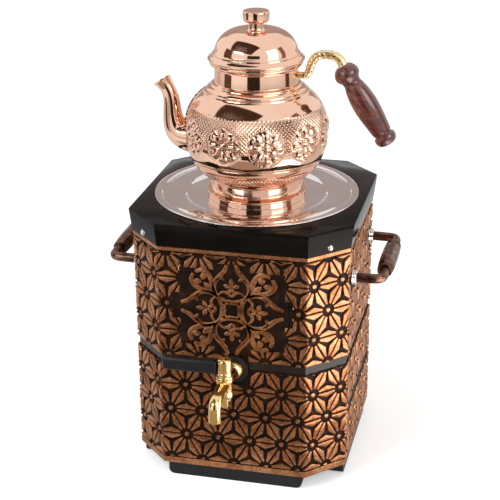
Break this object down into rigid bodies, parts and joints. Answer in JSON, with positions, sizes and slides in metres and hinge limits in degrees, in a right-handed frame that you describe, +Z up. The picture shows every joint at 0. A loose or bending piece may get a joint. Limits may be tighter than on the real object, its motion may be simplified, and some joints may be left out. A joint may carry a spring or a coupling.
{
  "type": "samovar",
  "caption": "Eight-sided electric samovar with embossed copper casings, a front tap with a lever, carrying handles, and a copper teapot on its lid.",
  "frame": {"origin": "on the casing's upright axis, in the plane that the feet stand on", "axes": "+Z up, -Y out of the front face with the tap, +X to the right seen from the front"},
  "size_m": [0.2788, 0.2951, 0.445],
  "materials": {
    "antique_copper": "embossed, darkened in the hollows",
    "polished_copper": "polished",
    "brass": "polished",
    "stainless": "polished",
    "black_enamel": "gloss",
    "black_plastic": "satin",
    "chrome": "polished",
    "lacquered_wood": "gloss lacquer",
    "silicone": "matte",
    "steel": "plain"
  },
  "bodies": {
    "root": {"lower_casing": "antique_copper", "upper_casing": "antique_copper", "seam_band": "black_enamel", "front_medallion": "antique_copper", "top_collar": "black_enamel", "collar_screws": "chrome", "base_pan": "steel", "front_foot": "black_plastic", "rear_foot": "black_plastic", "left_foot": "black_plastic", "right_foot": "black_plastic", "foot_screws": "steel", "water_tank": "stainless", "tap_body": "brass", "tap_washer": "black_plastic", "tap_seal": "silicone", "tap_nut": "brass", "heating_element": "stainless", "element_seals": "silicone", "element_nuts": "brass", "thermostat": "steel", "element_leads": "silicone", "power_inlet": "black_plastic", "switch_housing": "black_plastic", "left_vent": "black_plastic", "right_vent": "black_plastic", "left_handle_bow": "antique_copper", "right_handle_bow": "antique_copper", "left_grip": "antique_copper", "right_grip": "antique_copper", "handle_ferrules": "chrome", "handle_nuts": "steel"},
    "tap_handle": {"tap_plug": "brass", "tap_lever": "black_plastic", "lever_pin": "steel", "plug_nut": "brass"},
    "switch": {"rocker_switch": "black_plastic"},
    "lid": {"lid_disc": "stainless"},
    "teapot": {"teapot_body": "polished_copper", "teapot_spout": "polished_copper", "teapot_handle_arm": "brass", "teapot_grip": "lacquered_wood"},
    "teapot_cover": {"teapot_lid": "polished_copper", "lid_knob": "polished_copper", "knob_screw": "steel"}
  },
  "joints": [
    {"name": "tap_turn", "type": "hinge", "parent": "root", "child": "tap_handle", "pos_m": [0.002, -0.14325, 0.126], "axis": [0, 0, 1], "range_deg": [0, 90]},
    {"name": "switch_rock", "type": "hinge", "parent": "root", "child": "switch", "pos_m": [0.022, 0.10258, 0.056], "axis": [1, 0, 0], "range_deg": [-20, 0]},
    {"name": "lid_lift", "type": "slide", "parent": "root", "child": "lid", "axis": [0, 0, 1], "range_m": [0, 0.12]},
    {"name": "teapot_lift", "type": "slide", "parent": "lid", "child": "teapot", "axis": [0, 0, 1], "range_m": [0, 0.12]},
    {"name": "cover_lift", "type": "slide", "parent": "teapot", "child": "teapot_cover", "axis": [0, 0, 1], "range_m": [0, 0.08]}
  ]
}
